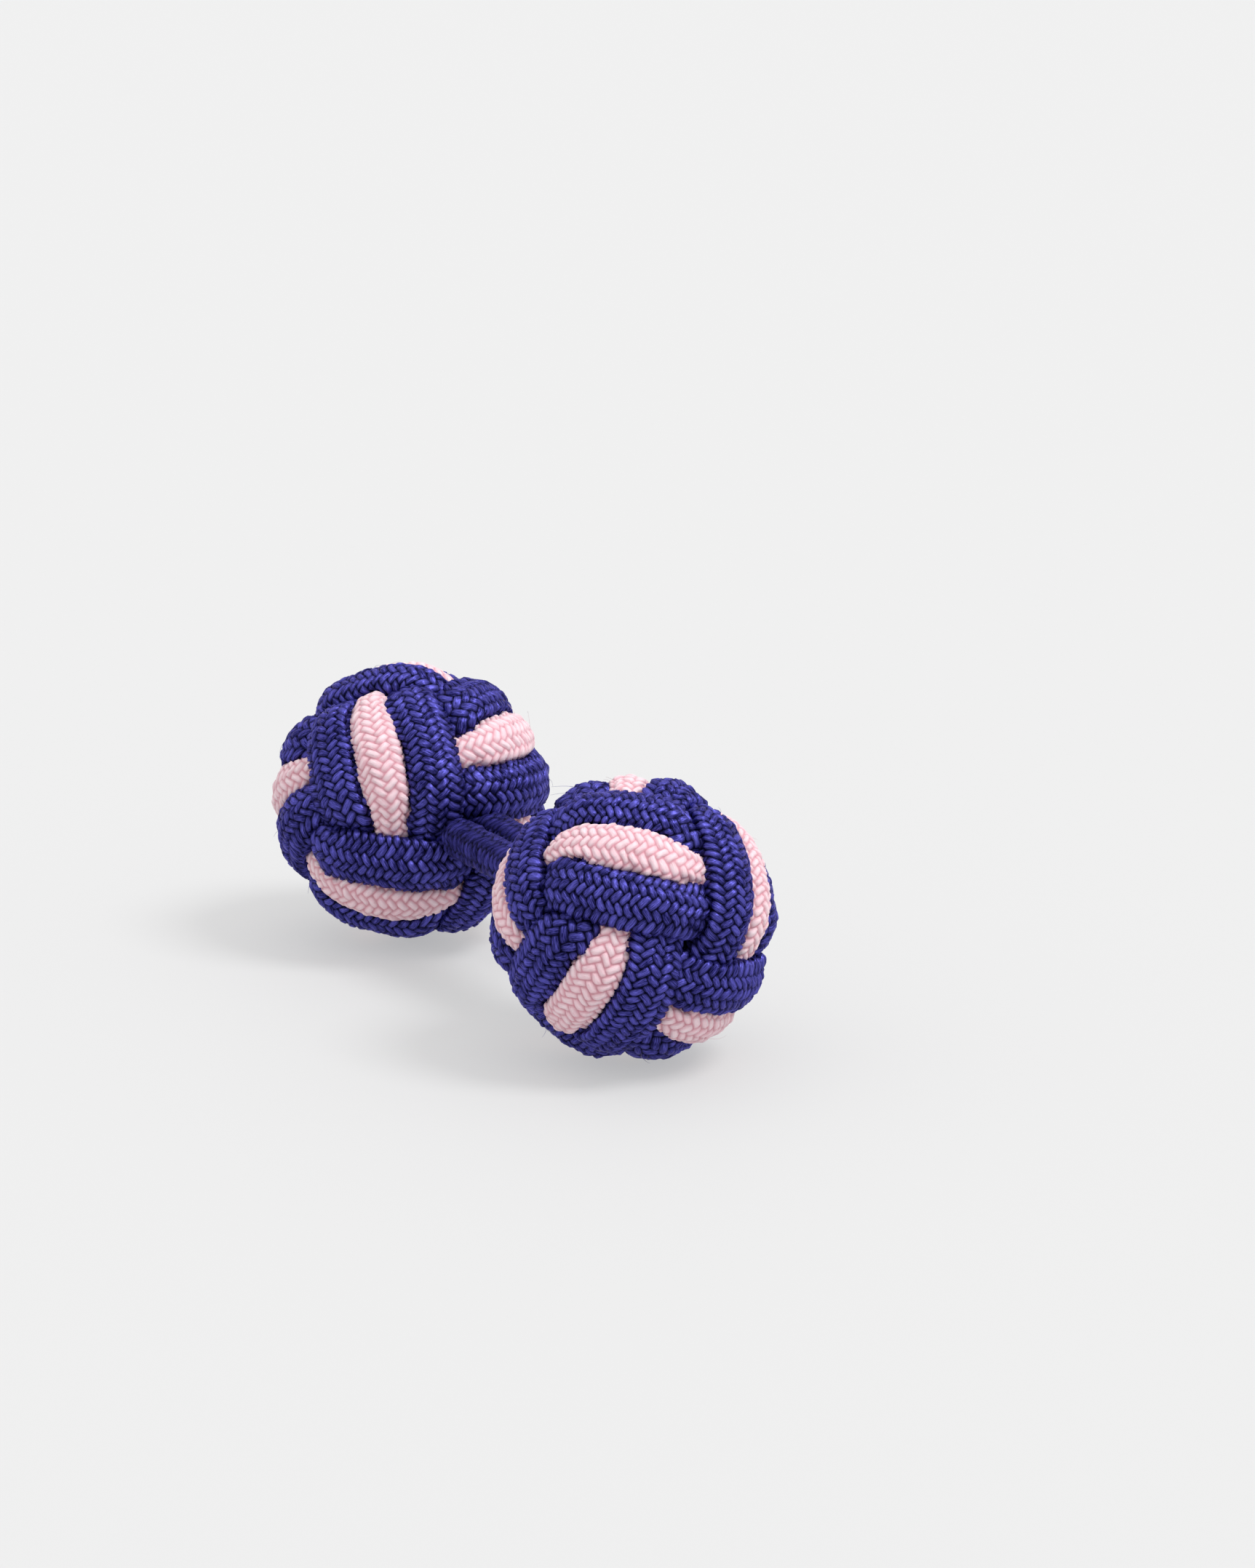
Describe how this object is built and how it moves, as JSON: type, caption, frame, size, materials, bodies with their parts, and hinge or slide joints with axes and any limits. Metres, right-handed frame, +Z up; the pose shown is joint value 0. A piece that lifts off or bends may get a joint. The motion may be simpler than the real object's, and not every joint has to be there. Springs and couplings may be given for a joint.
{
  "type": "silk knot cuff button",
  "caption": "Silk knot cuff button: ball knots of blue and pink braided cords, woven over and under, joined by a short elastic shank that passes through a shirt cuff.",
  "frame": {"origin": "on the surface that both knots rest on, under the middle of the shank", "axes": "+X along the shank from the second knot to the first, +Z up, +Y across the shank"},
  "size_m": [0.0326, 0.013, 0.0129],
  "materials": {
    "blue_silk": "lustrous braided silk cord, royal blue",
    "pink_silk": "lustrous braided silk cord, pale pink",
    "elastic": "covered round elastic, navy blue"
  },
  "bodies": {
    "root": {"first_knot_left_blue_cord": "blue_silk", "first_knot_pink_cord": "pink_silk", "first_knot_right_blue_cord": "blue_silk", "second_knot_left_blue_cord": "blue_silk", "second_knot_pink_cord": "pink_silk", "second_knot_right_blue_cord": "blue_silk", "elastic_shank": "elastic"}
  },
  "joints": []
}
